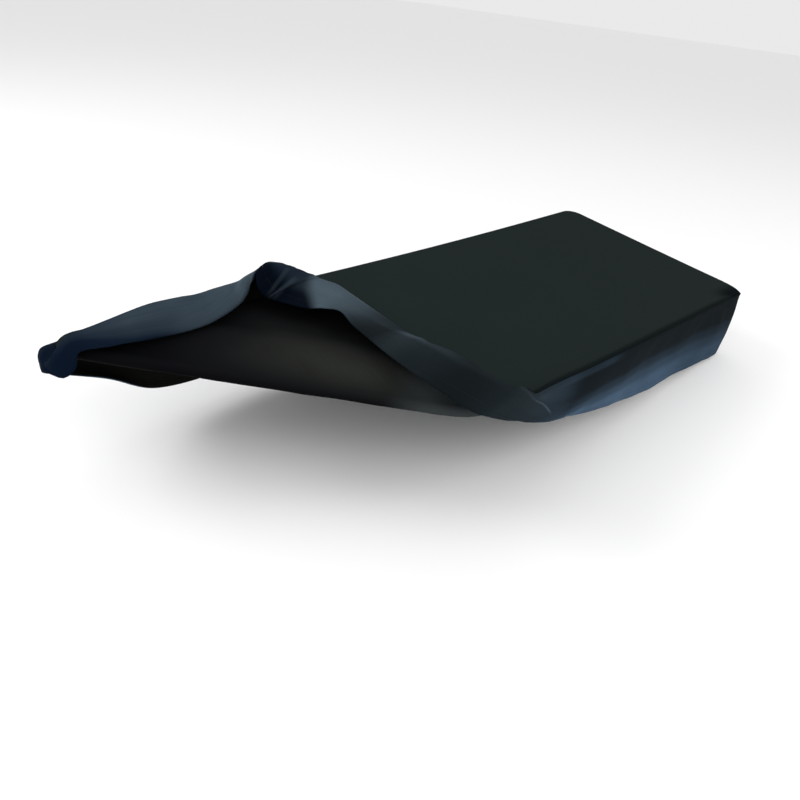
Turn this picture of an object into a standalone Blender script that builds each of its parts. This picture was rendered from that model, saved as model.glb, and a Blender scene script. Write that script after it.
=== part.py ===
"""Fitted cloth piano cover, its front left corner turned back over the top.

Metres, +Z up, +X along the length to the right, +Y to the back. The origin lies on the underside of the
top panel, at the middle of the cover. Five cut pieces, each one sheet: a top panel with round corners
and four skirts sewn round its rim. Each piece is a flat pattern that is laid in its folds by a function.
"""

import math

import bmesh
import bpy
from mathutils import Vector

MM = 0.001

LENGTH = 0.967  # of the top panel, along X
DEPTH = 0.362  # of the top panel, along Y
CORNER_RADIUS = 0.025  # of the top panel, seen from above
SHEET = 0.0016  # coated cloth, hem and seam allowance taken together
SEAM_GAP = 0.0004  # between two sewn pieces
SEAM_STAND = 0.0026  # each skirt leaves the panel square for this far
SKIRT_DROP = 0.110  # of a skirt, from its seam to its hem
TOP_SLOPE = 0.0968  # the top falls towards the front by this share of the depth

FOLD_REACH = 0.328  # from the front left corner to either end of the fold line
FOLD_RADIUS = 0.0065  # of the sheet's middle where it turns over
FOLD_STEPS = 8  # facets round the fold
PUFF_HEIGHT = 0.009  # the turned-back corner is a little blown up behind the fold
PUFF_WIDTH = 0.090
CORNER_RAISED = 0.002  # how much higher the turned-back corner's tip lies

FOLDED_PART = 0.400  # of the length, from the left end, where the patterns are drawn finely
FINE_STEP = 0.012
SEAM_LINE = 0.004  # the patterns have a line this near the front and the left edge
COARSE_STEP = 0.036
CORNER_STEPS = 3  # facets round half a corner
SKIRT_ROWS = 7
EDGE_ROWS = (1, 5, 1, 1)  # past the turned edge, of the front, left, back and right skirt
TUCK_RADIUS = 0.0035
TUCK_AIM = 0.27  # the turned cloth points this share above the seam
HEM_BAND = 0.014  # the rows past the turned edge share at least this much of the skirt
PROBE = 0.0005  # step for the slope of a laid sheet

BACK_SAG = 0.0065  # of the back edge at the middle of the length
SAG_REACH = 0.060  # the sag dies away over this depth
LIFT_REACH = 0.062  # the front edge's lift dies away over this depth
FOLD_HUG = 0.030  # behind the front edge, the cloth lies flat this far to both sides of the fold
# How far the front edge stands above the plain slope, by distance from the left end.
FRONT_LIFT = (  # from_left, lift (mm)
    (0, 46),
    (328, 46),
    (448, 37),
    (552, 30),
    (662, 23),
    (797, 14),
    (900, 7),
    (967, 2),
)

# The skirts, station by station clockwise round the rim from the middle of the front right corner.
# edge: the lower edge's place, from the left end and the front edge, and above the middle of the top's slope.
# belly: how far the middle of the skirt stands off the straight line from its seam to that edge.
# tuck: how much of the skirt turns back inside at that edge, where it is folded over its own hem.
SKIRT_STATIONS = (  # round, edge_x, edge_y, edge_z, belly_x, belly_y, belly_z, tuck (mm)
    (0, 958, 0, -127, 2, -2, 0, 0),
    (80, 873, -5, -120, 0, -4, 0, 0),
    (165, 777, -4, -107, -1, 2, -3, 0),
    (300, 624, -4, -88, -2, 2, -4, 0),
    (410, 494, -5, -59, -4, -4, -6, 0),
    (514, 380, -7, -24, -6, -9, -8, 0),
    (560, 334, -8, -7, -4, -12, -8, 0),
    (595, 302, -8, 7, -2, -12, -5, 0),
    (625, 274, -6, 20, 0, -12, 0, 0),
    (655, 248, 2, 31, 4, -9, 7, 0),
    (680, 240, 17, 33, 9, -5, 20, 0),
    (720, 241, 60, 32, 6, -2, 12, 0),
    (783, 240, 123, 36, 6, 0, 12, 0),
    (843, 243, 183, 42, 5, 0, 0, 0),
    (878, 247, 212, 46, 5, 2, -1, 0),
    (913, 235, 227, 46, 5, 4, 2, 0),
    (935, 218, 240, 45, 5, 5, 7, 0),
    (956, 204, 281, 42, 10, 2, 10, 0),
    (971, 196, 282, 48, 14, 4, 14, 0),
    (986, 191, 284, 58, 16, 5, 18, 0),
    (1006, 193, 289, 66, 14, 7, 18, 0),
    (1021, 198, 295, 70, 12, 10, 16, 0),
    (1034, 200, 300, 65, 9, 11, 15, 0),
    (1048, 195, 302, 56, 5, 10, 16, 0),
    (1066, 186, 298, 51, 3, 8, 18, 6),
    (1090, 169, 286, 46, 0, 4, 21, 20),
    (1115, 146, 278, 42, 0, 4, 24, 30),
    (1145, 114, 270, 41, 0, 3, 24, 34),
    (1187, 71, 270, 43, -1, 2, 22, 34),
    (1227, 28, 280, 42, -3, 1, 17, 30),
    (1250, 4, 291, 37, -6, 1, 12, 18),
    (1266, 0, 298, 18, -11, 3, 10, 6),
    (1279, -7, 311, -1, -13, 8, 5, 0),
    (1293, -18, 329, 1, -5, 5, 10, 0),
    (1307, -12, 350, -15, -7, 7, 8, 0),
    (1340, 38, 352, -40, -4, 14, -8, 0),
    (1400, 98, 362, -82, 0, 8, -4, 0),
    (1500, 198, 369, -92, 0, 3, 0, 0),
    (2200, 898, 369, -92, 0, 3, 0, 0),
    (2264, 969, 365, -93, 2, 2, 0, 0),
    (2330, 975, 290, -98, 3, 0, 0, 0),
    (2560, 973, 58, -121, 3, 0, 0, 0),
)

SIDE_RUNS = (LENGTH, DEPTH, LENGTH, DEPTH)  # front, left, back, right
CORNER_ARC = math.pi * CORNER_RADIUS / 2
RIM = sum(SIDE_RUNS) - 8 * CORNER_RADIUS + 4 * CORNER_ARC
STRAIGHT_STARTS = [  # of the sides, clockwise round the rim from the middle of the front right corner
    sum(SIDE_RUNS[:side]) - 2 * CORNER_RADIUS * side + CORNER_ARC * (side + 0.5) for side in range(4)
]
CORNER_CENTRES = (
    (LENGTH - CORNER_RADIUS, CORNER_RADIUS),
    (CORNER_RADIUS, CORNER_RADIUS),
    (CORNER_RADIUS, DEPTH - CORNER_RADIUS),
    (LENGTH - CORNER_RADIUS, DEPTH - CORNER_RADIUS),
)
FOLD_TURN = math.pi * FOLD_RADIUS  # length of cloth in the fold
FOLD_LENGTH = FOLD_REACH * math.sqrt(2)

CLOTHS = {  # colour, roughness
    "top_cloth": ((0.017, 0.024, 0.022), 0.62),
    "skirt_cloth": ((0.022, 0.032, 0.046), 0.5),
}


def eased(table, place, closed_length=None):
    """The table's row at this place, read from a smooth curve through its rows."""
    rows = [tuple(value * MM for value in row) for row in table]
    if closed_length:
        before = [(row[0] - closed_length,) + row[1:] for row in rows[-2:]]
        after = [(row[0] + closed_length,) + row[1:] for row in rows[:2]]
        rows = before + rows + after
    else:
        rows = [rows[0]] + rows + [rows[-1]]
    last = len(rows) - 3
    at = next((i for i in range(1, last) if place <= rows[i + 1][0]), last)
    start, end = rows[at], rows[at + 1]
    width = end[0] - start[0]
    t = min(max((place - start[0]) / width, 0), 1)
    values = []
    for column in range(1, len(start)):
        slopes = []
        for low, high in ((at - 1, at + 1), (at, at + 2)):
            run = rows[high][0] - rows[low][0]
            slopes.append((rows[high][column] - rows[low][column]) / run * width)
        values.append(
            start[column] * (1 + 2 * t) * (1 - t) ** 2
            + slopes[0] * t * (1 - t) ** 2
            + end[column] * t * t * (3 - 2 * t)
            - slopes[1] * t * t * (1 - t)
        )
    return values


def slope_height(from_left, from_front, off_fold):
    """Height of the laid top above the middle of its slope, this far from the fold."""
    lift = eased(FRONT_LIFT, from_left)[0] * math.exp(-max(from_front, 0) / LIFT_REACH)
    behind = 1 - math.exp(-((from_front / FOLD_HUG) ** 2))
    lift *= 1 - behind * math.exp(-((off_fold / FOLD_HUG) ** 2))
    from_back = max(DEPTH - from_front, 0)
    sag = BACK_SAG * math.sin(math.pi * from_left / LENGTH) * math.exp(-from_back / SAG_REACH)
    return TOP_SLOPE * (from_front - DEPTH / 2) + lift - sag


MIDDLE_HEIGHT = slope_height(LENGTH / 2, DEPTH / 2, LENGTH / 2) - SHEET / 2


def placed(from_left, from_front, height):
    """A point given from the left end, the front edge and the middle of the slope, in the cover's frame."""
    return Vector((from_left - LENGTH / 2, from_front - DEPTH / 2, height - MIDDLE_HEIGHT))


def folded(from_left, from_front):
    """Where the pattern's point comes to lie, as the middle of the sheet."""
    past = (FOLD_REACH - from_left - from_front) / math.sqrt(2)
    climb = 0.0
    reach = past
    off_fold = -past
    if past > 0:
        turn = min(past, FOLD_TURN) / FOLD_RADIUS
        beyond = max(past - FOLD_TURN, 0)
        off_fold = beyond
        reach = FOLD_RADIUS * math.sin(turn) - beyond
        climb = FOLD_RADIUS * (1 - math.cos(turn))
        climb += PUFF_HEIGHT * math.sin(math.pi * min(beyond / PUFF_WIDTH, 1)) ** 2
        climb += CORNER_RAISED * (beyond / (FOLD_LENGTH / 2)) ** 2
    shift = (past - reach) / math.sqrt(2)
    x, y = from_left + shift, from_front + shift
    return placed(x, y, slope_height(x, y, off_fold) + climb)


def rim_place(distance):
    """The rim's point and outward direction in the pattern, clockwise from the front right corner's middle."""
    left = (distance + CORNER_ARC / 2) % RIM
    for side in range(4):
        centre = Vector(CORNER_CENTRES[side])
        start = -side * math.pi / 2
        swing = min(left, CORNER_ARC) / CORNER_RADIUS
        outward = Vector((math.cos(start - swing), math.sin(start - swing)))
        left -= CORNER_ARC
        along = Vector((outward.y, -outward.x))
        straight = SIDE_RUNS[side] - 2 * CORNER_RADIUS
        if left <= straight:
            break
        left -= straight
    point = centre + outward * CORNER_RADIUS + along * max(left, 0)
    return point, outward


def facing(lay, first, second):
    """The upper face's direction of a laid sheet at this place of its pattern."""
    along = lay(first + PROBE, second) - lay(first - PROBE, second)
    across = lay(first, second + PROBE) - lay(first, second - PROBE)
    return along.cross(across).normalized()


def skirt_point(distance, down):
    """Where the skirt's pattern comes to lie, this far round the rim and this far down from its seam."""
    point, outward = rim_place(distance)
    inset = point - outward * SHEET / 2
    square = -facing(folded, *inset)
    seam = folded(*inset) + square * (SHEET / 2 + SEAM_GAP + min(down, SEAM_STAND))
    edge_x, edge_y, edge_z, *belly, tuck = eased(SKIRT_STATIONS, distance % RIM, RIM)
    tuck = max(tuck, 0)
    edge = placed(edge_x, edge_y, edge_z)
    middle = (seam + edge) / 2 + 2 * Vector(belly)
    drop = max(down - SEAM_STAND, 0) / (SKIRT_DROP - SEAM_STAND - tuck)
    turned = down - SKIRT_DROP + tuck
    if tuck == 0 or turned <= 0:
        return seam * (1 - drop) ** 2 + middle * 2 * drop * (1 - drop) + edge * drop**2
    onward = (edge - middle).normalized()
    home = (seam.lerp(middle, TUCK_AIM) - edge).normalized()
    inward = (home - onward * onward.dot(home)).normalized()
    turn = min(turned / TUCK_RADIUS, onward.angle(home))
    curl = onward * math.sin(turn) + inward * (1 - math.cos(turn))
    return edge + curl * TUCK_RADIUS + home * (turned - turn * TUCK_RADIUS)


def cloth(name, colour, roughness):
    material = bpy.data.materials.new(name)
    material.use_nodes = True
    shader = material.node_tree.nodes["Principled BSDF"]
    shader.inputs["Base Color"].default_value = (*colour, 1)
    shader.inputs["Roughness"].default_value = roughness
    shader.inputs["Metallic"].default_value = 0
    return material


def sheet_object(name, pattern, lay, material):
    """An object from a flat pattern, given the cloth's thickness and laid in its folds."""
    upper = bmesh.ops.extrude_face_region(pattern, geom=pattern.faces[:])["geom"]
    verts = [item for item in upper if isinstance(item, bmesh.types.BMVert)]
    bmesh.ops.translate(pattern, vec=(0, 0, SHEET), verts=verts)
    bmesh.ops.recalc_face_normals(pattern, faces=pattern.faces)
    for vert in pattern.verts:
        first, second, height = vert.co
        vert.co = lay(first, second) + facing(lay, first, second) * (height - SHEET / 2)
    mesh = bpy.data.meshes.new(name)
    pattern.to_mesh(mesh)
    pattern.free()
    mesh.shade_smooth()
    mesh.materials.append(material)
    obj = bpy.data.objects.new(name, mesh)
    bpy.context.scene.collection.objects.link(obj)


def cut(pattern, point, normal, drop_outer=False):
    bmesh.ops.bisect_plane(
        pattern,
        geom=pattern.verts[:] + pattern.edges[:] + pattern.faces[:],
        dist=1e-6,
        plane_co=(*point, 0),
        plane_no=(*normal, 0),
        clear_outer=drop_outer,
    )


def spaced(places, step):
    """The places, with more put between them so that none lies further than this from the next."""
    filled = [places[0]]
    for low, high in zip(places, places[1:]):
        steps = math.ceil((high - low) / step)
        filled += [low + (high - low) * part / steps for part in range(1, steps + 1)]
    return filled


def pattern_lines():
    """The lines that the patterns are drawn on: distances from the left end, and from the front edge."""
    across = spaced((CORNER_RADIUS, FOLDED_PART), FINE_STEP)
    across += spaced((FOLDED_PART, LENGTH - CORNER_RADIUS), COARSE_STEP)[1:]
    return across, spaced((CORNER_RADIUS, DEPTH - CORNER_RADIUS), FINE_STEP)


def top_panel(material):
    """The panel's flat pattern, cut round at its corners, creased along the fold and laid in place."""
    pattern = bmesh.new()
    bmesh.ops.create_grid(pattern, x_segments=1, y_segments=1, size=0.5)
    bmesh.ops.scale(pattern, vec=(LENGTH, DEPTH, 1), verts=pattern.verts)
    bmesh.ops.translate(pattern, vec=(LENGTH / 2, DEPTH / 2, 0), verts=pattern.verts)
    across, back = pattern_lines()
    beside_seam = [SEAM_LINE, (SEAM_LINE + CORNER_RADIUS) / 2]
    for place in beside_seam + across:
        cut(pattern, Vector((place, 0)), Vector((1, 0)))
    for place in beside_seam + back:
        cut(pattern, Vector((0, place)), Vector((0, 1)))
    fold_normal = Vector((-1, -1)).normalized()
    fold_middle = Vector((FOLD_REACH / 2, FOLD_REACH / 2))
    for step in range(FOLD_STEPS + 1):
        cut(pattern, fold_middle + fold_normal * FOLD_TURN * step / FOLD_STEPS, fold_normal)
    facets = 2 * CORNER_STEPS
    for side, centre in enumerate(CORNER_CENTRES):
        for step in range(facets):
            angle = -math.pi / 2 * (side + (step + 0.5) / facets)
            outward = Vector((math.cos(angle), math.sin(angle)))
            flat = CORNER_RADIUS * math.cos(math.pi / 4 / facets)
            cut(pattern, Vector(centre) + outward * flat, outward, drop_outer=True)
    bmesh.ops.triangulate(pattern, faces=pattern.faces)
    sheet_object("top_panel", pattern, folded, material)


def rim_stations(side):
    """Places along the rim for the skirt of this side, at the panel's own lines and facets."""
    straight = SIDE_RUNS[side] - 2 * CORNER_RADIUS
    lines = pattern_lines()[side % 2]
    if side in (1, 2):
        places = [line - CORNER_RADIUS for line in lines]
    else:
        places = [straight + CORNER_RADIUS - line for line in reversed(lines)]
    facet = FOLD_TURN * math.sqrt(2) / FOLD_STEPS
    if side == 0:
        places += [LENGTH - CORNER_RADIUS - FOLD_REACH + facet * step for step in range(FOLD_STEPS + 1)]
    if side == 1:
        places += [FOLD_REACH - CORNER_RADIUS - facet * step for step in range(FOLD_STEPS + 1)]
    arcs = [CORNER_ARC / 2 * step / CORNER_STEPS for step in range(1, CORNER_STEPS + 1)]
    places += [-arc for arc in arcs] + [straight + arc for arc in arcs]
    return sorted(places)


def row_place(distance, row, edge_rows):
    """How far down the skirt this row of its pattern lies: evenly to the turned edge, evenly past it."""
    turned = max(eased(SKIRT_STATIONS, distance % RIM, RIM)[-1], HEM_BAND)
    if row < 2:
        return SEAM_STAND * row
    if row < 2 + SKIRT_ROWS:
        return SEAM_STAND + (SKIRT_DROP - SEAM_STAND - turned) * (row - 1) / SKIRT_ROWS
    return SKIRT_DROP - turned * (1 + SKIRT_ROWS + edge_rows - row) / edge_rows


def skirt(name, side, material):
    """One skirt panel: a flat strip sewn to the rim along this side, laid in its folds."""
    stations = [STRAIGHT_STARTS[side] + place for place in rim_stations(side)]
    stations[0] += SEAM_GAP / 2
    stations[-1] -= SEAM_GAP / 2
    rows = 2 + SKIRT_ROWS + EDGE_ROWS[side]
    pattern = bmesh.new()
    bmesh.ops.create_grid(pattern, x_segments=len(stations) - 1, y_segments=rows - 1, size=0.5)
    for vert in pattern.verts:
        station = stations[round((vert.co.x + 0.5) * (len(stations) - 1))]
        row = round((vert.co.y + 0.5) * (rows - 1))
        vert.co = (station, row_place(station, row, EDGE_ROWS[side]), 0)
    sheet_object(name, pattern, skirt_point, material)


def main():
    for obj in list(bpy.data.objects):
        bpy.data.objects.remove(obj)
    cloths = {name: cloth(name, *look) for name, look in CLOTHS.items()}
    top_panel(cloths["top_cloth"])
    for side, name in enumerate(("front_skirt", "left_skirt", "back_skirt", "right_skirt")):
        skirt(name, side, cloths["skirt_cloth"])


main()
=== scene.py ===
"""The fitted cloth cover, its front left corner turned back over the top: looks, light, view.

Five cut pieces of coated cloth. Each one is a flat pattern that is laid in its folds by the same
sizes as its solid, then given its creases, its hem and its thickness. The sizes are in metres,
the tables' rows in millimetres. +X is right, +Y is back, +Z is up.
"""

import functools
import math

import bmesh
import bpy
from mathutils import Matrix, Vector, noise


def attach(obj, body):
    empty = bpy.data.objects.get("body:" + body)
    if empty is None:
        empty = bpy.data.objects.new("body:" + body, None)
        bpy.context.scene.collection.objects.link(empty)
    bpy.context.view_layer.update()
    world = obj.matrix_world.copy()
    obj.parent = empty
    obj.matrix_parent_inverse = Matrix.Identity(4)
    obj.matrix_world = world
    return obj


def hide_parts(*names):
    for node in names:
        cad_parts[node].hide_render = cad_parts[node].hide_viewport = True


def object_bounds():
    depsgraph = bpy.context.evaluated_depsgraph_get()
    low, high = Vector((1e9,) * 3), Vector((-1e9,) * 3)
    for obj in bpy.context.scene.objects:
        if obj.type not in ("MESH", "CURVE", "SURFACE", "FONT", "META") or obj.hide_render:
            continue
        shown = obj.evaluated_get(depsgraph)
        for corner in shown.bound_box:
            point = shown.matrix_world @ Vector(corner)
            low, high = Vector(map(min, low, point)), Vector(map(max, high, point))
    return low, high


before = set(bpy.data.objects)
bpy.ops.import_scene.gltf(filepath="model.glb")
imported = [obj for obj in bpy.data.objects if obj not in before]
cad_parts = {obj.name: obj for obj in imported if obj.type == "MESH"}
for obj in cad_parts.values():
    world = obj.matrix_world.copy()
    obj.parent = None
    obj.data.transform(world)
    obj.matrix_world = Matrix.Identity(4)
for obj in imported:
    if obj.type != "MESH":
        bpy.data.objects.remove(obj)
solid_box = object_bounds()

MM = 0.001

# ---- the cut and its folds ----
LENGTH = 0.967  # of the top panel, along X
DEPTH = 0.362  # of the top panel, along Y
CORNER_RADIUS = 0.025
SHEET = 0.0016  # the cloth in hems and seam allowances
FIELD_CLOTH = 0.0009  # the cloth away from them
SEAM_GAP = 0.0001  # between one piece and the next
SEAM_STAND = 0.0026  # a skirt stands square off its seam this far before it falls
SKIRT_DROP = 0.110
TOP_SLOPE = 0.0968  # the top's fall towards the front

FOLD_REACH = 0.328  # along either edge, from the corner to the fold
FOLD_RADIUS = 0.0065
FOLD_STEPS = 12
PUFF_HEIGHT = 0.009  # how far the turned-back corner stands off the top behind the fold
PUFF_WIDTH = 0.090
CORNER_RAISED = 0.002  # and at its point
TUCK_RADIUS = 0.0035  # of the turn under the roll's lower edge
TUCK_AIM = 0.27  # where the tucked cloth heads: its share of the way from seam to middle
PROBE = 0.0005  # the step by which a laid sheet's facing is measured

BACK_SAG = 0.0065  # the dip in the middle of the back edge
SAG_REACH = 0.060
LIFT_REACH = 0.062  # how far in from the front edge its lift is felt
FOLD_HUG = 0.030  # the turned-back corner and the top lie close this near the fold

CELL = 0.0036  # of the patterns' grid
CORNER_STEPS = 6  # facets round half a corner
HEM_DEPTH = 0.013
SEAM_ALLOWANCE = 0.009
RIM_ROUND = 0.0040  # the panel's edge rolls over this far from its seam
RIM_DROP = 0.0011
WORN_REACH = 0.030  # the front right corner, worn rounder this far
WORN_ROUND = 0.010
WORN_DROP = 0.0032

FRONT_LIFT = (  # from_left, lift
    (0, 46),
    (328, 46),
    (448, 37),
    (552, 30),
    (662, 23),
    (797, 14),
    (900, 7),
    (967, 2),
)

# Clockwise round the rim from the middle of the front right corner, as the solids are laid:
# where the lower edge lies, how the skirt bellies on the way there, and what is tucked under.
SKIRT_STATIONS = (  # round, edge_x, edge_y, edge_z, belly_x, belly_y, belly_z, tuck
    (0, 958, 0, -127, 2, -2, 0, 0),
    (80, 873, -5, -120, 0, -4, 0, 0),
    (165, 777, -4, -107, -1, 2, -3, 0),
    (300, 624, -4, -88, -2, 2, -4, 0),
    (410, 494, -5, -59, -4, -4, -6, 0),
    (514, 380, -7, -24, -6, -9, -8, 0),
    (560, 334, -8, -7, -4, -12, -8, 0),
    (595, 302, -8, 7, -2, -12, -5, 0),
    (625, 274, -6, 20, 0, -12, 0, 0),
    (655, 248, 2, 31, 4, -9, 7, 0),
    (680, 240, 17, 33, 9, -5, 20, 0),
    (720, 241, 60, 32, 6, -2, 12, 0),
    (783, 240, 123, 36, 6, 0, 12, 0),
    (843, 243, 183, 42, 5, 0, 0, 0),
    (878, 247, 212, 46, 5, 2, -1, 0),
    (913, 235, 227, 46, 5, 4, 2, 0),
    (935, 218, 240, 45, 5, 5, 7, 0),
    (956, 204, 281, 42, 10, 2, 10, 0),
    (971, 196, 282, 48, 14, 4, 14, 0),
    (986, 191, 284, 58, 16, 5, 18, 0),
    (1006, 193, 289, 66, 14, 7, 18, 0),
    (1021, 198, 295, 70, 12, 10, 16, 0),
    (1034, 200, 300, 65, 9, 11, 15, 0),
    (1048, 195, 302, 56, 5, 10, 16, 0),
    (1066, 186, 298, 51, 3, 8, 18, 6),
    (1090, 169, 286, 46, 0, 4, 21, 20),
    (1115, 146, 278, 42, 0, 4, 24, 30),
    (1145, 114, 270, 41, 0, 3, 24, 34),
    (1187, 71, 270, 43, -1, 2, 22, 34),
    (1227, 28, 280, 42, -3, 1, 17, 30),
    (1250, 4, 291, 37, -6, 1, 12, 18),
    (1266, 0, 298, 18, -11, 3, 10, 6),
    (1279, -7, 311, -1, -13, 8, 5, 0),
    (1293, -18, 329, 1, -5, 5, 10, 0),
    (1307, -12, 350, -15, -7, 7, 8, 0),
    (1340, 38, 352, -40, -4, 14, -8, 0),
    (1400, 98, 362, -82, 0, 8, -4, 0),
    (1500, 198, 369, -92, 0, 3, 0, 0),
    (2200, 898, 369, -92, 0, 3, 0, 0),
    (2264, 969, 365, -93, 2, 2, 0, 0),
    (2330, 975, 290, -98, 3, 0, 0, 0),
    (2560, 973, 58, -121, 3, 0, 0, 0),
)

# Soft troughs (below zero) and ridges, each from one place of the flat pattern to another.
TOP_CREASES = (  # from_x, from_y, to_x, to_y, half_width, height
    (40, 300, 300, 30, 9, 0.8),
    (120, 180, 170, 130, 16, 1.2),
    (60, 130, 140, 60, 14, -1.2),
    (30, 220, 150, 150, 12, -1.0),
    (500, 60, 760, 300, 60, -0.7),
    (640, 40, 900, 120, 45, 0.6),
    (760, 330, 940, 210, 40, -0.6),
    (420, 330, 620, 300, 35, 0.7),
)
SKIRT_CREASES = (  # from_round, from_down, to_round, to_down, half_width, height
    (96, 12, 62, 106, 14, 1.2),
    (150, 20, 190, 104, 22, -1.6),
    (232, 16, 268, 106, 24, 1.5),
    (330, 24, 372, 108, 20, -1.5),
    (408, 20, 392, 104, 16, 1.1),
    (640, 22, 592, 62, 4, 1.4),
    (452, 30, 500, 100, 14, -1.2),
    (560, 50, 610, 104, 12, -1.2),
    (712, 50, 704, 104, 8, 1.0),
    (779, 6, 772, 40, 6, -1.6),
    (788, 8, 780, 60, 7, 1.2),
    (848, 20, 862, 100, 12, 1.2),
    (900, 16, 906, 96, 8, -1.4),
    (968, 20, 962, 100, 4, 1.4),
    (984, 12, 990, 100, 4, -1.6),
    (1004, 10, 1010, 100, 4, 1.6),
    (1052, 10, 1090, 70, 7, -1.2),
    (1080, 34, 1215, 26, 9, -1.2),
    (1100, 54, 1245, 48, 10, 1.3),
    (1130, 10, 1172, 60, 9, 1.0),
    (1210, 10, 1250, 60, 8, -1.1),
    (1470, 16, 1500, 104, 18, 1.4),
    (1660, 14, 1640, 104, 22, -1.6),
    (1850, 16, 1880, 106, 26, 1.5),
    (2080, 14, 2050, 104, 20, -1.4),
    (2300, 14, 2320, 104, 14, 1.2),
    (2440, 14, 2420, 106, 18, -1.5),
    (2560, 16, 2580, 104, 14, 1.2),
)

SIDE_RUNS = (LENGTH, DEPTH, LENGTH, DEPTH)  # front, left, back, right
CORNER_ARC = math.pi * CORNER_RADIUS / 2
RIM = sum(SIDE_RUNS) - 8 * CORNER_RADIUS + 4 * CORNER_ARC
STRAIGHT_STARTS = [
    sum(SIDE_RUNS[:side]) - 2 * CORNER_RADIUS * side + CORNER_ARC * (side + 0.5)
    for side in range(4)
]
CORNER_CENTRES = (
    (LENGTH - CORNER_RADIUS, CORNER_RADIUS),
    (CORNER_RADIUS, CORNER_RADIUS),
    (CORNER_RADIUS, DEPTH - CORNER_RADIUS),
    (LENGTH - CORNER_RADIUS, DEPTH - CORNER_RADIUS),
)
FOLD_TURN = math.pi * FOLD_RADIUS
FOLD_LENGTH = FOLD_REACH * math.sqrt(2)


def eased(table, place, closed_length=None):
    """The table's row at this place, read from a smooth curve through its rows."""
    rows = [tuple(value * MM for value in row) for row in table]
    if closed_length:
        before = [(row[0] - closed_length,) + row[1:] for row in rows[-2:]]
        after = [(row[0] + closed_length,) + row[1:] for row in rows[:2]]
        rows = before + rows + after
    else:
        rows = [rows[0]] + rows + [rows[-1]]
    last = len(rows) - 3
    at = next((i for i in range(1, last) if place <= rows[i + 1][0]), last)
    start, end = rows[at], rows[at + 1]
    width = end[0] - start[0]
    t = min(max((place - start[0]) / width, 0), 1)
    values = []
    for column in range(1, len(start)):
        slopes = []
        for low, high in ((at - 1, at + 1), (at, at + 2)):
            run = rows[high][0] - rows[low][0]
            slopes.append((rows[high][column] - rows[low][column]) / run * width)
        values.append(
            start[column] * (1 + 2 * t) * (1 - t) ** 2
            + slopes[0] * t * (1 - t) ** 2
            + end[column] * t * t * (3 - 2 * t)
            - slopes[1] * t * t * (1 - t)
        )
    return values


@functools.lru_cache(maxsize=None)
def front_lift(from_left):
    """How far the front edge is lifted towards the fold."""
    return eased(FRONT_LIFT, from_left)[0]


def slope_height(from_left, from_front, off_fold):
    """Height of the laid top above the middle of its slope, this far from the fold."""
    lift = front_lift(round(from_left, 5)) * math.exp(-max(from_front, 0) / LIFT_REACH)
    behind = 1 - math.exp(-((from_front / FOLD_HUG) ** 2))
    lift *= 1 - behind * math.exp(-((off_fold / FOLD_HUG) ** 2))
    from_back = max(DEPTH - from_front, 0)
    sag = BACK_SAG * math.sin(math.pi * from_left / LENGTH) * math.exp(-from_back / SAG_REACH)
    return TOP_SLOPE * (from_front - DEPTH / 2) + lift - sag


MIDDLE_HEIGHT = slope_height(LENGTH / 2, DEPTH / 2, LENGTH / 2) - SHEET / 2


def placed(from_left, from_front, height):
    """A place of the cover in the frame of the part, whose origin is under the top's middle."""
    return Vector((from_left - LENGTH / 2, from_front - DEPTH / 2, height - MIDDLE_HEIGHT))


def folded(from_left, from_front):
    """Where the top panel's pattern comes to lie, as the middle of the sheet."""
    past = (FOLD_REACH - from_left - from_front) / math.sqrt(2)
    climb = 0.0
    reach = past
    off_fold = -past
    if past > 0:
        turn = min(past, FOLD_TURN) / FOLD_RADIUS
        beyond = max(past - FOLD_TURN, 0)
        off_fold = beyond
        reach = FOLD_RADIUS * math.sin(turn) - beyond
        climb = FOLD_RADIUS * (1 - math.cos(turn))
        climb += PUFF_HEIGHT * math.sin(math.pi * min(beyond / PUFF_WIDTH, 1)) ** 2
        climb += CORNER_RAISED * (beyond / (FOLD_LENGTH / 2)) ** 2
    shift = (past - reach) / math.sqrt(2)
    x, y = from_left + shift, from_front + shift
    return placed(x, y, slope_height(x, y, off_fold) + climb)


def rim_place(distance):
    """The rim's point and outward direction in the pattern, this far round the rim."""
    left = (distance + CORNER_ARC / 2) % RIM
    for side in range(4):
        centre = Vector(CORNER_CENTRES[side])
        start = -side * math.pi / 2
        swing = min(left, CORNER_ARC) / CORNER_RADIUS
        outward = Vector((math.cos(start - swing), math.sin(start - swing)))
        left -= CORNER_ARC
        along = Vector((outward.y, -outward.x))
        straight = SIDE_RUNS[side] - 2 * CORNER_RADIUS
        if left <= straight:
            break
        left -= straight
    point = centre + outward * CORNER_RADIUS + along * max(left, 0)
    return point, outward


def rim_distance(from_left, from_front):
    """How far inside the rim a place of the top panel's pattern lies."""
    low_x = CORNER_RADIUS - from_left
    high_x = from_left - (LENGTH - CORNER_RADIUS)
    low_y = CORNER_RADIUS - from_front
    high_y = from_front - (DEPTH - CORNER_RADIUS)
    out_x, out_y = max(low_x, high_x), max(low_y, high_y)
    beyond = math.hypot(max(out_x, 0), max(out_y, 0)) + min(max(out_x, out_y), 0)
    return CORNER_RADIUS - beyond


def near(distance, reach):
    """1 at no distance, and fading to 0 over the reach."""
    return math.exp(-((distance / reach) ** 2))


def facing(lay, first, second):
    """The outer face's direction of a laid sheet at this place of its pattern."""
    along = lay(first + PROBE, second) - lay(first - PROBE, second)
    across = lay(first, second + PROBE) - lay(first, second - PROBE)
    return along.cross(across).normalized()


def rolled_edge(inside, from_left, from_front):
    """How far the top drops where it rolls over into its seam, most at the worn corner."""
    worn = near(math.hypot(LENGTH - from_left, from_front), WORN_REACH)
    rolled = max(1 - inside / (RIM_ROUND + WORN_ROUND * worn), 0)
    return (RIM_DROP + WORN_DROP * worn) * rolled**2


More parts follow.
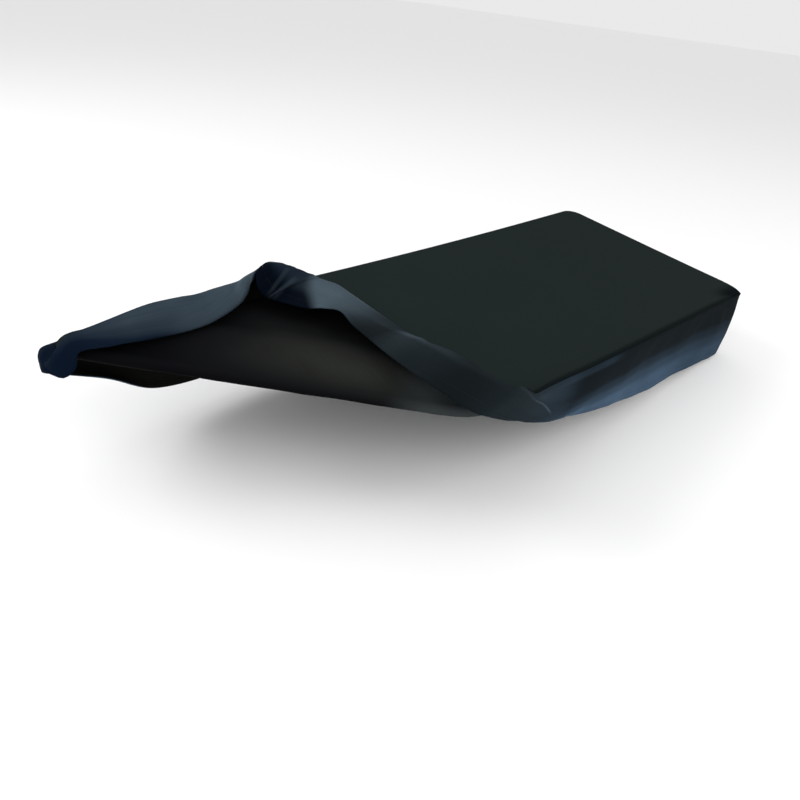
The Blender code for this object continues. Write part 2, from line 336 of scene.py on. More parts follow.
@functools.lru_cache(maxsize=None)
def skirt_station(distance):
    """The seam, its square direction, the lower edge, the pull on the middle, and the tuck."""
    point, outward = rim_place(distance)
    inset = point - outward * SHEET / 2
    square = -facing(folded, *inset)
    start = folded(*inset) + square * (SHEET / 2 + SEAM_GAP + rolled_edge(SHEET / 2, *inset))
    edge_x, edge_y, edge_z, *belly, tuck = eased(SKIRT_STATIONS, distance % RIM, RIM)
    return start, square, placed(edge_x, edge_y, edge_z), 2 * Vector(belly), max(tuck, 0)


def skirt_point(distance, down):
    """Where the skirt's pattern lies, this far round the rim and this far down from its seam."""
    start, square, edge, pull, tuck = skirt_station(round(distance, 6))
    seam = start + square * min(down, SEAM_STAND)
    middle = (seam + edge) / 2 + pull
    drop = max(down - SEAM_STAND, 0) / (SKIRT_DROP - SEAM_STAND - tuck)
    turned = down - SKIRT_DROP + tuck
    if tuck == 0 or turned <= 0:
        return seam * (1 - drop) ** 2 + middle * 2 * drop * (1 - drop) + edge * drop**2
    onward = (edge - middle).normalized()
    home = (seam.lerp(middle, TUCK_AIM) - edge).normalized()
    inward = (home - onward * onward.dot(home)).normalized()
    turn = min(turned / TUCK_RADIUS, onward.angle(home))
    curl = onward * math.sin(turn) + inward * (1 - math.cos(turn))
    return edge + curl * TUCK_RADIUS + home * (turned - turn * TUCK_RADIUS)


# ---- creases, dents and gathers ----
CREASE_OVERRUN = 0.3  # how far past its ends a crease still shows, as a share of its run
CREASE_EDGE = 2.6  # and how far to its sides, in half widths
CREASE_LEAST = 0.75  # of its height; the rest comes and goes along its run
CREASE_BEAT = 7  # radians along its run
DENTS = ((14, 0.0009, 0), (45, 0.00022, 9))  # to the metre, height, seed of its own
GATHER_HEIGHT = 0.00030
GATHER_BEAT = 640  # radians to the metre of seam
GATHER_SHIFT = 2.2  # how unevenly they follow each other
GATHER_SHIFT_CHANGES = 25  # to the metre
GATHER_STRENGTH = 0.6
GATHER_STRENGTH_CHANGES = 12  # to the metre
GATHER_INSET = 0.008  # from the edge
GATHER_WIDTH = 0.006
HEM_GATHER_SHARE = 0.8  # the hem's gathers beside the seam's
SEAM_CALM = 0.012  # creases and dents fade out this near a seam
HEM_WAVE_HEIGHT = 0.0007
HEM_WAVE_CHANGES = 30  # to the metre
HEM_WAVE_WIDTH = 0.022

# Seeds, so that no two of these are alike.
TOP_DENTS, TOP_GATHERS, SEAM_GATHERS, HEM_GATHERS, SKIRT_DENTS, HEM_WAVES = 1, 3, 5, 7, 20, 31
STRENGTH_SEED = 4  # added for the strength of the same gathers


def drawn(table):
    """The creases as a start, a run, a half width and a rise, in metres."""
    lines = []
    for row in table:
        from_x, from_y, to_x, to_y, half_width, rise = (value * MM for value in row)
        run = Vector((to_x - from_x, to_y - from_y))
        lines.append((Vector((from_x, from_y)), run, half_width, rise))
    return lines


TOP_LINES = drawn(TOP_CREASES)
SKIRT_LINES = drawn(SKIRT_CREASES)


def creased(table, first, second):
    """How far the creases raise the cloth at this place of its pattern."""
    height = 0.0
    for start, run, half_width, rise in table:
        place = Vector((first, second)) - start
        share = place.dot(run) / run.length_squared
        if not -CREASE_OVERRUN < share < 1 + CREASE_OVERRUN:
            continue
        off = (place - run * share).length / half_width
        if off < CREASE_EDGE:
            past = max(-share, share - 1, 0) * run.length / half_width
            swell = (1 - CREASE_LEAST) * math.sin(CREASE_BEAT * min(max(share, 0), 1))
            height += rise * math.exp(-off * off - past * past) * (CREASE_LEAST + swell)
    return height


def unevenness(first, second, seed):
    """Small waves and dents, none alike, as limp cloth has them."""
    height = 0.0
    for density, rise, own_seed in DENTS:
        place = Vector((first * density, second * density, seed + own_seed))
        height += rise * noise.noise(place)
    return height


def puckers(along, inside, seed):
    """The little gathers that a row of stitches pulls in the cloth beside it."""
    shift = noise.noise(Vector((along * GATHER_SHIFT_CHANGES, seed, 0)))
    beat = math.sin(along * GATHER_BEAT + GATHER_SHIFT * shift)
    change = noise.noise(Vector((along * GATHER_STRENGTH_CHANGES, seed + STRENGTH_SEED, 0)))
    strength = GATHER_STRENGTH + GATHER_STRENGTH * change
    return GATHER_HEIGHT * beat * strength * near(inside - GATHER_INSET, GATHER_WIDTH)


def top_relief(from_left, from_front):
    """How far the top panel's face stands off its plain folds."""
    inside = rim_distance(from_left, from_front)
    along = from_left + from_front
    free = 1 - near(inside, SEAM_CALM)
    dents = unevenness(from_left, from_front, TOP_DENTS)
    relief = free * (creased(TOP_LINES, from_left, from_front) + dents)
    relief += puckers(along, inside, TOP_GATHERS)
    return relief - rolled_edge(inside, from_left, from_front)


def skirt_relief(distance, down):
    """How far a skirt's face stands off its plain folds."""
    free = 1 - near(down, SEAM_CALM)
    dents = unevenness(distance, down, SKIRT_DENTS)
    relief = free * (creased(SKIRT_LINES, distance, down) + dents)
    hem_gathers = HEM_GATHER_SHARE * puckers(distance, SKIRT_DROP - down, HEM_GATHERS)
    relief += puckers(distance, down, SEAM_GATHERS) + hem_gathers
    hem_wave = noise.noise(Vector((distance * HEM_WAVE_CHANGES, 0, HEM_WAVES)))
    return relief + HEM_WAVE_HEIGHT * hem_wave * near(SKIRT_DROP - down, HEM_WAVE_WIDTH)


def top_thickness(from_left, from_front):
    inside = rim_distance(from_left, from_front)
    return SHEET if inside < SEAM_ALLOWANCE else FIELD_CLOTH


def skirt_thickness(distance, down):
    """Thick in the seam allowance at the top and in the hem at the bottom, all round."""
    from_hem = SKIRT_DROP - down + SEAM_ALLOWANCE - HEM_DEPTH
    return SHEET if min(down, from_hem) < SEAM_ALLOWANCE else FIELD_CLOTH


# ---- sheets ----
CUT_MAP = "cut"  # each sheet's UV map: its place in the flat pattern, in metres
CUT_TOLERANCE = 1e-6
SHORTEST_EDGE = 2e-4


def laid_sheet(name, pattern, lay, relief, thickness, cloths):
    """A piece from its flat pattern: laid in its folds, creased, and given its thickness."""
    source = pattern.verts.layers.int.new("source")
    for number, vert in enumerate(pattern.verts):
        vert[source] = number
    skin = pattern.copy()
    halves = []
    for vert in skin.verts:
        first, second, _ = vert.co
        halves.append(thickness(first, second) / 2)
        vert.co = lay(first, second) + facing(lay, first, second) * relief(first, second)
    skin.normal_update()
    laid = [(vert.co.copy(), vert.normal * half) for vert, half in zip(skin.verts, halves)]
    skin.free()
    raised = bmesh.ops.extrude_face_region(pattern, geom=pattern.faces[:])["geom"]
    upper = [item for item in raised if isinstance(item, bmesh.types.BMVert)]
    bmesh.ops.translate(pattern, vec=(0, 0, SHEET), verts=upper)
    bmesh.ops.recalc_face_normals(pattern, faces=pattern.faces)
    cut_map = pattern.loops.layers.uv.new(CUT_MAP)
    for face in pattern.faces:
        if all(vert.co.z < SHEET / 2 for vert in face.verts):
            face.material_index = 1
        for loop in face.loops:
            loop[cut_map].uv = loop.vert.co.xy
    for vert in pattern.verts:
        place, half = laid[vert[source]]
        vert.co = place + half if vert.co.z > SHEET / 2 else place - half
    pattern.verts.layers.int.remove(source)
    mesh = bpy.data.meshes.new(name)
    pattern.to_mesh(mesh)
    pattern.free()
    mesh.shade_smooth()
    for material in cloths:
        mesh.materials.append(material)
    piece = bpy.data.objects.new(name, mesh)
    bpy.context.scene.collection.objects.link(piece)
    return piece


def flat_grid(left, right, depth):
    """A metre square of fine grid, brought to size: from left to right, and down its depth."""
    pattern = bmesh.new()
    columns, rows = round((right - left) / CELL), round(depth / CELL)
    bmesh.ops.create_grid(pattern, x_segments=columns, y_segments=rows, size=0.5)
    bmesh.ops.scale(pattern, vec=(right - left, depth, 1), verts=pattern.verts)
    middle = ((left + right) / 2, depth / 2, 0)
    bmesh.ops.translate(pattern, vec=middle, verts=pattern.verts)
    return pattern


def cut(pattern, point, normal, drop_outer=False):
    """A straight line across the flat pattern, and the cloth beyond it dropped if asked."""
    bmesh.ops.bisect_plane(
        pattern,
        geom=pattern.verts[:] + pattern.edges[:] + pattern.faces[:],
        dist=CUT_TOLERANCE,
        plane_co=(*point, 0),
        plane_no=(*normal, 0),
        clear_outer=drop_outer,
    )


def top_pattern():
    """The top panel laid flat, with lines along its fold, and its corners cut round."""
    pattern = flat_grid(0, LENGTH, DEPTH)
    fold_normal = Vector((-1, -1)).normalized()
    fold_middle = Vector((FOLD_REACH / 2, FOLD_REACH / 2))
    for step in range(FOLD_STEPS + 1):
        cut(pattern, fold_middle + fold_normal * FOLD_TURN * step / FOLD_STEPS, fold_normal)
    facets = 2 * CORNER_STEPS
    flat = CORNER_RADIUS * math.cos(math.pi / 4 / facets)
    for side, centre in enumerate(CORNER_CENTRES):
        for step in range(facets):
            angle = -math.pi / 2 * (side + (step + 0.5) / facets)
            outward = Vector((math.cos(angle), math.sin(angle)))
            cut(pattern, Vector(centre) + outward * flat, outward, drop_outer=True)
    bmesh.ops.dissolve_degenerate(pattern, dist=SHORTEST_EDGE, edges=pattern.edges[:])
    return pattern


def skirt_pattern(side):
    """One skirt laid flat: along the rim from corner to corner, and down from seam to hem."""
    start = STRAIGHT_STARTS[side]
    end = start + SIDE_RUNS[side] - 2 * CORNER_RADIUS
    half_corner = CORNER_ARC / 2
    return flat_grid(
        start - half_corner + SEAM_GAP / 2, end + half_corner - SEAM_GAP / 2, SKIRT_DROP
    )


# ---- node helpers ----
def group(name, inputs, outputs):
    """An empty node group with its named sockets. inputs: (name, type, default)."""
    tree = bpy.data.node_groups.new(name, "ShaderNodeTree")
    for label, kind, default in inputs:
        socket = tree.interface.new_socket(label, in_out="INPUT", socket_type=kind)
        if default is not None:
            socket.default_value = default
    for label, kind in outputs:
        tree.interface.new_socket(label, in_out="OUTPUT", socket_type=kind)
    return tree, tree.nodes.new("NodeGroupInput"), tree.nodes.new("NodeGroupOutput")


def placed_group(tree, source, **given):
    """A group in a material, with its inputs set or linked."""
    node = tree.nodes.new("ShaderNodeGroup")
    node.node_tree = source
    for label, value in given.items():
        if isinstance(value, (int, float)):
            node.inputs[label].default_value = value
        else:
            tree.links.new(value, node.inputs[label])
    return node


def math_node(tree, operation, *values):
    """One step of arithmetic on numbers and other nodes' outputs."""
    node = tree.nodes.new("ShaderNodeMath")
    node.operation = operation
    for socket, value in zip(node.inputs, values):
        if isinstance(value, (int, float)):
            socket.default_value = value
        else:
            tree.links.new(value, socket)
    return node.outputs[0]


def product(tree, *values):
    """All the values multiplied with each other, in turn."""
    return functools.reduce(lambda one, other: math_node(tree, "MULTIPLY", one, other), values)


def ramp(tree, value, low, high):
    """0 up to low and 1 from high on, smooth between them. With low the greater, it falls."""
    node = tree.nodes.new("ShaderNodeMapRange")
    node.interpolation_type = "SMOOTHSTEP"
    tree.links.new(value, node.inputs["Value"])
    node.inputs["From Min"].default_value = low
    node.inputs["From Max"].default_value = high
    return node.outputs["Result"]


def within(tree, value, rise, fall):
    """1 between a rise and a fall, each a pair of places, and 0 outside them."""
    return product(tree, ramp(tree, value, *rise), ramp(tree, value, *fall))


def blended(tree, mask, first, second):
    """The first colour where the mask is 0, the second where it is 1."""
    node = tree.nodes.new("ShaderNodeMix")
    node.data_type = "RGBA"
    tree.links.new(mask, node.inputs["Factor"])
    for socket, value in ((node.inputs[6], first), (node.inputs[7], second)):
        if isinstance(value, tuple):
            socket.default_value = (*value, 1)
        else:
            tree.links.new(value, socket)
    return node.outputs[2]


def noisy(tree, place, scale, detail=3.0, roughness=0.55):
    """Soft cloudy noise, scale times to the metre."""
    node = tree.nodes.new("ShaderNodeTexNoise")
    tree.links.new(place, node.inputs["Vector"])
    node.inputs["Scale"].default_value = scale
    node.inputs["Detail"].default_value = detail
    node.inputs["Roughness"].default_value = roughness
    return node.outputs["Fac"]


def shade_curve(tree, value, end, stops):
    """A smooth grey curve over a length of the cut: (place in mm, grey) pairs."""
    node = tree.nodes.new("ShaderNodeValToRGB")
    node.color_ramp.interpolation = "EASE"
    share = math_node(tree, "DIVIDE", value, end)
    tree.links.new(share, node.inputs["Fac"])
    elements = node.color_ramp.elements
    for number, (at, grey) in enumerate(stops):
        element = elements[number] if number < 2 else elements.new(at * MM / end)
        element.position = at * MM / end
        element.color = (grey, grey, grey, 1)
    return node.outputs["Color"]


# ---- what the cloths have in common ----
THREAD_PITCH = 0.0007
SLUB_DENSITY = (18, 520, 1)  # to the metre, along the threads and across them
SLUB_DETAIL = 2.0
SLUB_RANGE = (0.35, 0.7)
CLOUD_DENSITY = 9.0
CLOUD_RANGE = (0.3, 0.7)
CRINKLE_DENSITY = 55.0
CRINKLE_DETAIL = 4.0
CRINKLE_ROUGHNESS = 0.6
STITCH_LENGTH = 0.0032
STITCH_SHOWN = 0.38  # of a stitch's length, to either side of its middle
STITCH_HALF_WIDTH = 0.00032
STITCH_TROUGH = 0.0016


def woven_cloth_group():
    """Plain weave: threads over and under, and slubs where one runs thicker."""
    tree, given, made = group(
        "woven_cloth",
        [("Cut", "NodeSocketVector", None), ("Thread", "NodeSocketFloat", THREAD_PITCH)],
        [("Height", "NodeSocketFloat"), ("Slub", "NodeSocketFloat")],
    )
    apart = tree.nodes.new("ShaderNodeSeparateXYZ")
    tree.links.new(given.outputs["Cut"], apart.inputs[0])
    waves = []
    for axis in (0, 1):
        turns = math_node(tree, "DIVIDE", apart.outputs[axis], given.outputs["Thread"])
        angle = math_node(tree, "MULTIPLY", turns, math.pi)
        waves.append(math_node(tree, "SINE", angle))
    over = product(tree, *waves)
    tree.links.new(math_node(tree, "MULTIPLY_ADD", over, 0.5, 0.5), made.inputs["Height"])
    stretched = tree.nodes.new("ShaderNodeMapping")
    tree.links.new(given.outputs["Cut"], stretched.inputs["Vector"])
    stretched.inputs["Scale"].default_value = SLUB_DENSITY
    slub = noisy(tree, stretched.outputs[0], 1.0, SLUB_DETAIL)
    tree.links.new(ramp(tree, slub, *SLUB_RANGE), made.inputs["Slub"])
    return tree


def handled_cloth_group():
    """Where the coating has been rubbed and creased: soft clouds, and fine crinkles in them."""
    tree, given, made = group(
        "handled_cloth",
        [("Place", "NodeSocketVector", None)],
        [("Clouds", "NodeSocketFloat"), ("Crinkle", "NodeSocketFloat")],
    )
    clouds = noisy(tree, given.outputs["Place"], CLOUD_DENSITY)
    tree.links.new(ramp(tree, clouds, *CLOUD_RANGE), made.inputs["Clouds"])
    bent = noisy(
        tree, given.outputs["Place"], CRINKLE_DENSITY, CRINKLE_DETAIL, CRINKLE_ROUGHNESS
    )
    ridges = math_node(tree, "ABSOLUTE", math_node(tree, "SUBTRACT", bent, 0.5))
    tree.links.new(math_node(tree, "MULTIPLY", ridges, 2.0), made.inputs["Crinkle"])
    return tree


def stitch_row_group():
    """A row of stitches along the cut's first direction, at one place across it."""
    tree, given, made = group(
        "stitch_row",
        [
            ("Along", "NodeSocketFloat", 0.0),
            ("Off", "NodeSocketFloat", 0.0),
            ("Stitch", "NodeSocketFloat", STITCH_LENGTH),
        ],
        [("Thread", "NodeSocketFloat"), ("Pull", "NodeSocketFloat")],
    )
    turns = math_node(tree, "DIVIDE", given.outputs["Along"], given.outputs["Stitch"])
    part = math_node(tree, "SUBTRACT", math_node(tree, "FRACT", turns), 0.5)
    long = math_node(tree, "LESS_THAN", math_node(tree, "ABSOLUTE", part), STITCH_SHOWN)
    off = math_node(tree, "ABSOLUTE", given.outputs["Off"])
    thin = math_node(tree, "LESS_THAN", off, STITCH_HALF_WIDTH)
    tree.links.new(product(tree, long, thin), made.inputs["Thread"])
    trough = math_node(tree, "SUBTRACT", 1.0, ramp(tree, off, 0.0, STITCH_TROUGH))
    tree.links.new(trough, made.inputs["Pull"])
    return tree


WEAVE = woven_cloth_group()
HANDLED = handled_cloth_group()
STITCHES = stitch_row_group()

RELIEF = 0.00020  # of the weave, the crinkles and the stitches, which share it as follows
WEAVE_RELIEF = 0.10
CRINKLE_RELIEF = 0.55
STITCH_PULL = 0.9
STITCH_RELIEF = 1.1
CLOUD_LEAST, CLOUD_SPREAD = 0.82, 0.36  # how light the clouds leave the cloth
SLUB_SHADE = -0.12
ROUGHNESS_SPREAD = 0.10
STITCH_SHOWS = 0.16  # how far the thread's colour shows against the cloth's
STITCH_THREAD = (0.030, 0.038, 0.048)


def cloth(name, shaded, roughness, gloss, stitch_lines=()):
    """A coated woven cloth: how its colour is made over its cut, and where its stitches run."""
    material = bpy.data.materials.new(name)
    material.use_nodes = True
    tree = material.node_tree
    shader = tree.nodes["Principled BSDF"]
    place = tree.nodes.new("ShaderNodeTexCoord").outputs["Object"]
    cut_map = tree.nodes.new("ShaderNodeUVMap")
    cut_map.uv_map = CUT_MAP
    apart = tree.nodes.new("ShaderNodeSeparateXYZ")
    tree.links.new(cut_map.outputs["UV"], apart.inputs[0])
    along, down = apart.outputs["X"], apart.outputs["Y"]
    weave = placed_group(tree, WEAVE, Cut=cut_map.outputs["UV"], Thread=THREAD_PITCH)
    handled = placed_group(tree, HANDLED, Place=place)
    clouds = handled.outputs["Clouds"]
    light_clouds = math_node(tree, "MULTIPLY_ADD", clouds, CLOUD_SPREAD, CLOUD_LEAST)
    slub = math_node(tree, "MULTIPLY_ADD", weave.outputs["Slub"], SLUB_SHADE, 1.0)
    colour = shaded(tree, along, down, product(tree, light_clouds, slub))
    height = math_node(tree, "MULTIPLY", weave.outputs["Height"], WEAVE_RELIEF)
    crinkle = math_node(tree, "MULTIPLY", handled.outputs["Crinkle"], CRINKLE_RELIEF)
    height = math_node(tree, "ADD", height, crinkle)
    for line in stitch_lines:
        off = math_node(tree, "SUBTRACT", down, line)
        row = placed_group(tree, STITCHES, Along=along, Off=off)
        thread, pull = row.outputs["Thread"], row.outputs["Pull"]
        shown = math_node(tree, "MULTIPLY", thread, STITCH_SHOWS)
        colour = blended(tree, shown, colour, STITCH_THREAD)
        height = math_node(tree, "SUBTRACT", height, product(tree, pull, STITCH_PULL))
        height = math_node(tree, "ADD", height, product(tree, thread, STITCH_RELIEF))
    tree.links.new(colour, shader.inputs["Base Color"])
    smoothest = roughness - ROUGHNESS_SPREAD / 2
    rough = math_node(tree, "MULTIPLY_ADD", clouds, ROUGHNESS_SPREAD, smoothest)
    tree.links.new(rough, shader.inputs["Roughness"])
    relief = tree.nodes.new("ShaderNodeBump")
    relief.inputs["Strength"].default_value = 1.0
    relief.inputs["Distance"].default_value = RELIEF
    tree.links.new(height, relief.inputs["Height"])
    tree.links.new(relief.outputs["Normal"], shader.inputs["Normal"])
    shader.inputs["Metallic"].default_value = 0
    shader.inputs["Specular IOR Level"].default_value = gloss
    return material


# ---- the skirts' colour ----
# Painted light and shade on their coating (a painted sheen low on the hanging parts, painted
# shade under the seam), round the rim in mm and from the seam down to the hem in mm.
ROUND_SHADES = (
    (0, 0.29),
    (60, 0.52),
    (200, 0.60),
    (300, 0.88),
    (400, 1.0),
    (480, 0.95),
    (520, 0.74),
    (560, 0.42),
    (600, 0.31),
    (632, 0.38),
    (648, 0.32),
    (668, 0.12),
    (710, 0.08),
    (760, 0.28),
    (797, 0.65),
    (820, 0.16),
    (845, 0.24),
    (893, 0.75),
    (925, 1.0),
    (1000, 0.9),
    (1056, 1.0),
    (1078, 1.0),
    (1100, 0.74),
    (1150, 0.55),
    (1200, 0.46),
    (1230, 0.30),
    (1250, 0.14),
    (1268, 0.03),
    (1300, 0.08),
    (1345, 0.6),
    (1400, 0.9),
)
HANGING = ((0, 0.02), (34, 0.04), (48, 0.22), (66, 0.55), (86, 0.95), (110, 1.0))
POINT = ((0, 0.7), (14, 0.85), (36, 0.6), (60, 0.6), (86, 0.55), (110, 0.5))
STRIP = ((0, 0.6), (14, 0.9), (48, 1.0), (68, 0.35), (110, 0.2))
STRIP_END = ((0, 1.0), (5, 1.0), (12, 0.8), (60, 0.9), (110, 0.85))
ROLL = ((0, 0.6), (14, 0.75), (48, 0.85), (66, 1.0), (86, 1.0), (110, 0.7))
ROLL_END = ((0, 0.7), (48, 1.0), (60, 0.95), (70, 0.60), (80, 0.12), (110, 0.05))
SHADE_CHANGES = (  # round the rim: from, to, the curve from there on. It hangs up to the first.
    (0.53, 0.61, POINT),
    (0.66, 0.70, STRIP),
    (0.83, 0.87, STRIP_END),
    (0.98, 1.05, ROLL),
    (1.14, 1.19, ROLL_END),
    (1.27, 1.34, HANGING),
)
# Where the greyer painted sheen of the folded-in parts takes over, and where the painted shade
# over the corner turns navy.
TURNED_IN = ((0.53, 0.66), (1.34, 1.26))  # round the rim: a rise and a fall
OVER_CORNER = ((0.93, 0.98), (1.38, 1.32))

# The short fold that stands up over the corner bags; painted shade over it, deepest on its lower
# face, and a painted dark shadow at its hem.
BAG_SLANT = 0.55  # the shade begins further along at the seam than at the hem
BAG_RISE, BAG_FALL = (0.976, 0.992), (1.052, 1.038)
BAG_LOWER = (0.066, 0.092)
BAG_SHADE, BAG_LOWER_SHADE = 0.79, 0.20
BAG_HEM = (0.070, 0.096)

# Painted highlights along ridges, seams and creases of the skirts.
PAINTED_HIGHLIGHTS = (  # from_round, from_down, to_round, to_down, half_width (mm), light
    (450, 5, 590, 4, 7, 0.14),
    (650, 14, 596, 56, 3.0, 0.36),
    (680, 5, 920, 5, 2.0, 0.18),
    (956, 109, 965, 68, 6.0, 0.25),
    (985, 66, 966, 108, 4.6, 0.17),
)
HIGHLIGHT_ENDS = ((-0.15, 0.25), (1.15, 0.75))  # where a line fades in and out, in shares of it
HIGHLIGHT_CORE = 4  # a line is fully light within this part of its half width

# The cloth in painted shade (navy over the corner, deepest in the bag) and its painted sheen: blue
# where it hangs, greyer where it lies folded in.
SKIRT_DARK = (0.0050, 0.0072, 0.0080)
SKIRT_NAVY = (0.0022, 0.0058, 0.0150)
SKIRT_SHEEN_BLUE = (0.064, 0.108, 0.168)
SKIRT_GREY_SHEEN = (0.060, 0.085, 0.105)
BAG_DARK = (0.0013, 0.0026, 0.0060)


def painted_highlight_line(tree, along, down, from_round, from_down, to_round, to_down, half_width, light):
    """A soft painted highlight line between two places of the skirts' cut."""
    start = Vector((from_round, from_down)) * MM
    run = Vector((to_round, to_down)) * MM - start
    side = Vector((run.y, -run.x)).normalized()
    measures = []
    for direction in (run / run.length_squared, side):
        part = math_node(tree, "MULTIPLY_ADD", down, direction.y, -start.dot(direction))
        measures.append(math_node(tree, "MULTIPLY_ADD", along, direction.x, part))
    share, off = measures
    edge = half_width * MM
    mask = ramp(tree, math_node(tree, "ABSOLUTE", off), edge, edge / HIGHLIGHT_CORE)
    for low, high in HIGHLIGHT_ENDS:
        mask = product(tree, mask, ramp(tree, share, low, high))
    return math_node(tree, "MULTIPLY", mask, light)


def skirt_shaded(tree, along, down, wear):
    """Painted shade under the seam and a painted bluish sheen at the hem where it hangs; a greyer
    painted sheen where it lies folded in.
    """
    light = shade_curve(tree, down, SKIRT_DROP, HANGING)
    for low, high, stops in SHADE_CHANGES:
        onward = shade_curve(tree, down, SKIRT_DROP, stops)
        light = blended(tree, ramp(tree, along, low, high), light, onward)
    light = product(tree, light, shade_curve(tree, along, RIM, ROUND_SHADES))
    slanted = math_node(tree, "MULTIPLY_ADD", down, BAG_SLANT, along)
    bag = product(tree, ramp(tree, slanted, *BAG_RISE), ramp(tree, along, *BAG_FALL))
    lower = ramp(tree, down, *BAG_LOWER)
    shaded_away = math_node(tree, "MULTIPLY_ADD", lower, BAG_LOWER_SHADE, BAG_SHADE)
    kept = math_node(tree, "SUBTRACT", 1.0, product(tree, bag, shaded_away))
    light = product(tree, light, kept)
    for row in PAINTED_HIGHLIGHTS:
        light = math_node(tree, "ADD", light, painted_highlight_line(tree, along, down, *row))
    light = product(tree, light, wear)
    shadow = blended(tree, within(tree, along, *OVER_CORNER), SKIRT_DARK, SKIRT_NAVY)
    shadow = blended(tree, product(tree, bag, ramp(tree, down, *BAG_HEM)), shadow, BAG_DARK)
    lit = blended(tree, within(tree, along, *TURNED_IN), SKIRT_SHEEN_BLUE, SKIRT_GREY_SHEEN)
    return blended(tree, light, shadow, lit)


INNER_DARK = (0.0050, 0.0050, 0.0045)
INNER_LIGHT = (0.0085, 0.0085, 0.0070)
DULLED = 0.4  # taken off the wear where it only tints the cloth


def inner_shaded(tree, along, down, wear):
    """The skirts' inner face: plain, a little clouded."""
    return blended(tree, math_node(tree, "SUBTRACT", wear, DULLED), INNER_DARK, INNER_LIGHT)


# ---- the top panel's colour ----
# The lining in painted shade and painted light, the painted shadow along the fold, and the painted
# light at the tip.
LINING_DARK = (0.0038, 0.0040, 0.0052)
LINING_LIGHT = (0.0192, 0.0208, 0.0180)
LINING_TIP = (0.032, 0.038, 0.040)
FOLD_DARK = (0.0012, 0.0012, 0.0018)
TOP_DARK = (0.0107, 0.0156, 0.0154)
TOP_LIGHT = (0.0136, 0.0190, 0.0188)
# The painted shade of the seam's roll and of the front right corner.
RIM_DARK = (0.0022, 0.0038, 0.0046)

# Places on the turned-back corner, in metres of the cut: where the painted light and shade come
# and go.
LINING_DEPTH = (0.25, 0.08)
CORNER_FADE = (0.14, 0.30, 0.4)  # from, to, the least light
FOLD_FADE = (0.322, 0.262, 0.05)
STRIP_FADE = (0.105, 0.172, 0.35)
STRIP_SLANT = 0.35
ROLL_DEPTH = ((0.12, 0.15), (0.23, 0.20))
ROLL_LENGTH = (0.095, 0.060)
ROLL_SHADE = -0.5
FOLD_LINE = (0.300, 0.322)
TIP_SLANT = -0.6
TIP = (0.148, 0.210)

# Places of painted shade on the outer face: the line where it rolls into the seam, and the front
# right corner where it curves down.
RIM_LINE = (0.011, 0.002)
RIM_LINE_SHADE = 0.72
CORNER_SHADE_DOWN = (0.036, 0.010)
CORNER_SHADE_ALONG = (0.860, 0.915)


def lining_shaded(tree, along, down, wear):
    """Painted light and shade: lightest behind the fold, painted shade beside the skirts that lie
    on it, under the roll and along the fold, and a painted light at the tip.
    """
    from_corner = math_node(tree, "ADD", along, down)
    beside_strip = math_node(tree, "MULTIPLY_ADD", along, STRIP_SLANT, down)
    light = ramp(tree, down, *LINING_DEPTH)
    for value, (low, high, least) in (
        (from_corner, CORNER_FADE),
        (from_corner, FOLD_FADE),
        (beside_strip, STRIP_FADE),
    ):
        share = math_node(tree, "MULTIPLY_ADD", ramp(tree, value, low, high), 1 - least, least)
        light = product(tree, light, share)
    beside_roll = within(tree, down, *ROLL_DEPTH)
    beside_roll = product(tree, beside_roll, ramp(tree, along, *ROLL_LENGTH))
    light = product(
        tree, light, math_node(tree, "MULTIPLY_ADD", beside_roll, ROLL_SHADE, 1.0)
    )
    dark = blended(tree, ramp(tree, from_corner, *FOLD_LINE), LINING_DARK, FOLD_DARK)
    colour = blended(tree, product(tree, light, wear), dark, LINING_LIGHT)
    to_tip = math_node(tree, "MULTIPLY_ADD", down, TIP_SLANT, along)
    return blended(tree, ramp(tree, to_tip, *TIP), colour, LINING_TIP)


def top_shaded(tree, along, down, wear):
    """Even, with painted shade in the line where it rolls into the seam and over the front right
    corner, where it curves down.
    """
    colour = blended(tree, math_node(tree, "SUBTRACT", wear, DULLED), TOP_DARK, TOP_LIGHT)
    from_right = math_node(tree, "SUBTRACT", LENGTH, along)
    edge = ramp(tree, math_node(tree, "MINIMUM", down, from_right), *RIM_LINE)
    corner = product(tree, ramp(tree, down, *CORNER_SHADE_DOWN), ramp(tree, along, *CORNER_SHADE_ALONG))
    dark = math_node(tree, "MAXIMUM", product(tree, edge, RIM_LINE_SHADE), corner)
    return blended(tree, dark, colour, RIM_DARK)


SEAM_STITCHES = 0.0035
HEM_STITCHES = SKIRT_DROP - 0.0115
top_face = cloth("top_face", top_shaded, roughness=0.70, gloss=0.004)
skirt_face = cloth(
    "skirt_face",
    skirt_shaded,
    roughness=0.70,
    gloss=0.006,
    stitch_lines=(SEAM_STITCHES, HEM_STITCHES),
)
skirt_lining = cloth(
    "skirt_lining", inner_shaded, roughness=0.75, gloss=0.02, stitch_lines=(HEM_STITCHES,)
)
top_lining = cloth("top_lining", lining_shaded, roughness=0.75, gloss=0.02)

# ---- the five pieces ----
SKIRTS = ("front_skirt", "left_skirt", "back_skirt", "right_skirt")

top_sheet = laid_sheet(
    "top_sheet", top_pattern(), folded, top_relief, top_thickness, (top_face, top_lining)
)
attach(top_sheet, "root")
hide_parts("top_panel")

for side, node in enumerate(SKIRTS):
    sheet = laid_sheet(
        node + "_sheet",
        skirt_pattern(side),
        skirt_point,
        skirt_relief,
        skirt_thickness,
        (skirt_face, skirt_lining),
    )
    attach(sheet, "root")
    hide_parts(node)

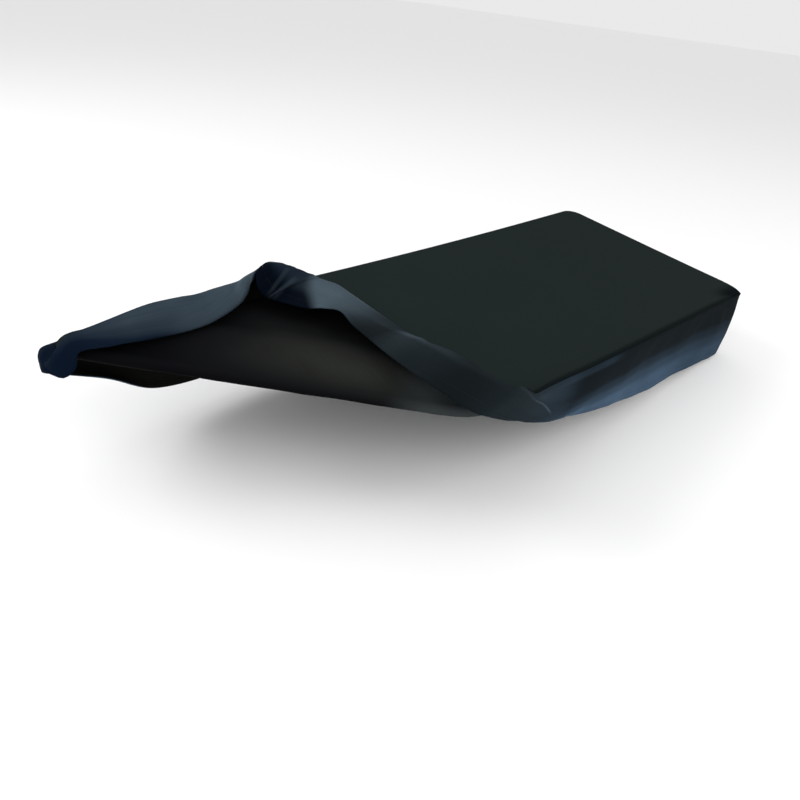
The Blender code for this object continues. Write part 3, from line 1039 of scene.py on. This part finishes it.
# ---- floor, light and view ----
FLOOR_BELOW = 0.004  # the lowest hem
FLOOR_HALF_SIZE = 60
FLOOR_COLOUR = (0.93, 0.93, 0.93, 1)
FLOOR_ROUGHNESS = 0.85
STUDIO_WHITE = (1, 1, 1, 1)
STUDIO_LIGHT = 0.82
SOFT_LIGHTS = (  # name, x, y, z, size, power
    ("front_light", 0.5, -2.4, 2.3, 2.0, 30),
    ("rim_light", -1.6, 1.6, 1.7, 1.2, 20),
    ("fill_light", -2.0, -1.2, 1.6, 2.4, 14),
)
VIEW_RIGHT = Vector((0.71696, -0.68858, 0.10872))
VIEW_UP = Vector((0.33374, 0.47597, 0.81368))
VIEW_BACK = Vector((-0.61203, -0.54709, 0.57106))
VIEW_PLACE = Vector((-0.60410, -0.40186, 0.33096 - MIDDLE_HEIGHT))
FOCAL_SHARE = 576.318 / 800  # focal length over the frame's width
NEAREST = 0.01  # that the camera sees

floor_mesh = bpy.data.meshes.new("studio_floor")
floor_shape = bmesh.new()
bmesh.ops.create_grid(floor_shape, x_segments=1, y_segments=1, size=FLOOR_HALF_SIZE)
floor_height = solid_box[0][2] - FLOOR_BELOW
bmesh.ops.translate(floor_shape, vec=(0, 0, floor_height), verts=floor_shape.verts)
floor_shape.to_mesh(floor_mesh)
floor_shape.free()
studio_floor = bpy.data.objects.new("studio_floor", floor_mesh)
bpy.context.scene.collection.objects.link(studio_floor)
paint = bpy.data.materials.new("pale_floor")
paint.use_nodes = True
paint_shader = paint.node_tree.nodes["Principled BSDF"]
paint_shader.inputs["Base Color"].default_value = FLOOR_COLOUR
paint_shader.inputs["Roughness"].default_value = FLOOR_ROUGHNESS
floor_mesh.materials.append(paint)

world = bpy.data.worlds.new("studio")
world.use_nodes = True
background = world.node_tree.nodes["Background"]
background.inputs["Color"].default_value = STUDIO_WHITE
background.inputs["Strength"].default_value = STUDIO_LIGHT
bpy.context.scene.world = world
bpy.context.scene.view_settings.view_transform = "Standard"

for name, x, y, z, size, power in SOFT_LIGHTS:
    lamp = bpy.data.lights.new(name, "AREA")
    lamp.shape = "DISK"
    lamp.size = size
    lamp.energy = power
    light = bpy.data.objects.new(name, lamp)
    light.location = (x, y, z)
    light.rotation_euler = (-light.location).to_track_quat("-Z", "Y").to_euler()
    bpy.context.scene.collection.objects.link(light)

lens = bpy.data.cameras.new("view")
lens.lens = lens.sensor_width * FOCAL_SHARE
lens.clip_start = NEAREST
camera = bpy.data.objects.new("view", lens)
turned = Matrix((VIEW_RIGHT, VIEW_UP, VIEW_BACK)).transposed().to_4x4()
camera.matrix_world = Matrix.Translation(VIEW_PLACE) @ turned
bpy.context.scene.collection.objects.link(camera)
bpy.context.scene.camera = camera

bpy.context.view_layer.update()
